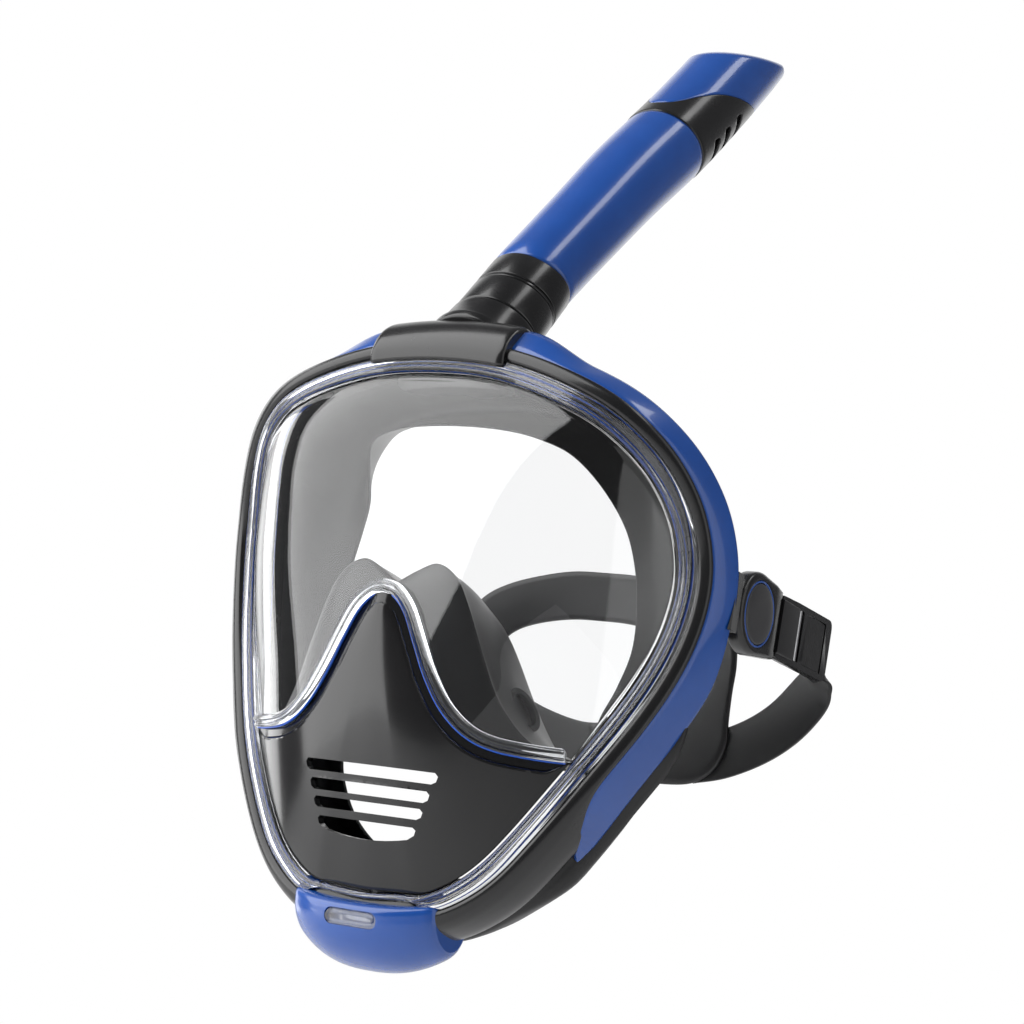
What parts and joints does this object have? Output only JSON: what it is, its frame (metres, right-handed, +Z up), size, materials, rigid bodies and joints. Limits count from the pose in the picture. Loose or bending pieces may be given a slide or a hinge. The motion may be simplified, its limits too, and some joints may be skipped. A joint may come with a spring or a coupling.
{
  "type": "full-face snorkel mask",
  "caption": "Full-face snorkel mask with a clear domed lens, nose cover with vents, silicone face skirt, rear breathing tube with a float top and a head strap on swivelling buckles.",
  "frame": {"origin": "centre of the face opening, on the plane of the skirt's face-side edge", "axes": "+Z up the wearer's face, -Y forwards out of the lens, +X to the side; the object is mirrored across the YZ plane"},
  "size_m": [0.2278, 0.2728, 0.4286],
  "materials": {
    "clear_lens": "polished clear polycarbonate",
    "black_gloss": "satin black",
    "black_satin": "satin black",
    "blue_gloss": "glossy cobalt blue",
    "black_silicone": "matt silicone",
    "float_foam": "pale moulded plastic",
    "black_strap": "silicone strap",
    "steel": "stainless steel"
  },
  "bodies": {
    "mask": {"lens": "clear_lens", "nose_cover": "black_gloss", "bezel_frame": "black_satin", "side_frame": "blue_gloss", "chin_clip": "blue_gloss", "chin_window": "clear_lens", "top_cover": "black_satin", "snorkel_socket": "black_satin", "skirt": "black_silicone", "oronasal_cup": "black_silicone", "inhale_seat_left": "black_satin", "inhale_seat_right": "black_satin", "purge_seat": "black_satin", "anchor_boss_left": "black_satin", "anchor_boss_right": "black_satin", "head_strap": "black_strap"},
    "snorkel": {"snorkel_collar": "black_satin", "collar_ring": "black_gloss", "socket_o_ring": "black_silicone", "snorkel_tube": "blue_gloss", "tube_divider": "black_satin", "vent_collar": "black_satin", "top_cap": "blue_gloss", "float_gasket": "black_silicone"},
    "float": {"float": "float_foam"},
    "inhale_valve_left": {"inhale_valve_left": "black_silicone"},
    "inhale_valve_right": {"inhale_valve_right": "black_silicone"},
    "purge_valve": {"purge_valve": "black_silicone"},
    "buckle_left": {"buckle_housing_left": "black_satin", "button_ring_left": "blue_gloss", "button_spring_left": "steel", "glide_frame_left": "black_satin", "glide_bar_left": "steel", "strap_tail_left": "black_strap"},
    "button_left": {"buckle_button_left": "black_gloss"},
    "buckle_right": {"buckle_housing_right": "black_satin", "button_ring_right": "blue_gloss", "button_spring_right": "steel", "glide_frame_right": "black_satin", "glide_bar_right": "steel", "strap_tail_right": "black_strap"},
    "button_right": {"buckle_button_right": "black_gloss"}
  },
  "joints": [
    {"name": "snorkel_pull", "type": "slide", "parent": "mask", "child": "snorkel", "axis": [0, 0.6899, 0.7239], "range_m": [0, 0.04]},
    {"name": "float_rise", "type": "slide", "parent": "snorkel", "child": "float", "axis": [0, 0.7411, 0.6714], "range_m": [0, 0.008]},
    {"name": "inhale_left", "type": "slide", "parent": "mask", "child": "inhale_valve_left", "axis": [0.8617, 0.0802, -0.501], "range_m": [0, 0.0012], "stiffness_N_per_m": 40, "springref_m": -0.0008},
    {"name": "inhale_right", "type": "slide", "parent": "mask", "child": "inhale_valve_right", "axis": [-0.8617, 0.0802, -0.501], "range_m": [0, 0.0012], "stiffness_N_per_m": 40, "springref_m": -0.0008},
    {"name": "purge_lift", "type": "slide", "parent": "mask", "child": "purge_valve", "axis": [0, 0, -1], "range_m": [0, 0.0015], "stiffness_N_per_m": 60, "springref_m": -0.001},
    {"name": "buckle_swivel_left", "type": "hinge", "parent": "mask", "child": "buckle_left", "pos_m": [-0.112, 0.01, 0.023], "axis": [-0.9925, 0.1219, 0], "range_deg": [-15, 15]},
    {"name": "buckle_swivel_right", "type": "hinge", "parent": "mask", "child": "buckle_right", "pos_m": [0.112, 0.01, 0.023], "axis": [0.9925, 0.1219, 0], "range_deg": [-15, 15]},
    {"name": "button_press_left", "type": "slide", "parent": "buckle_left", "child": "button_left", "axis": [0.9925, -0.1219, 0], "range_m": [0, 0.0014], "stiffness_N_per_m": 1500, "springref_m": -0.001},
    {"name": "button_press_right", "type": "slide", "parent": "buckle_right", "child": "button_right", "axis": [-0.9925, -0.1219, 0], "range_m": [0, 0.0014], "stiffness_N_per_m": 1500, "springref_m": -0.001}
  ]
}
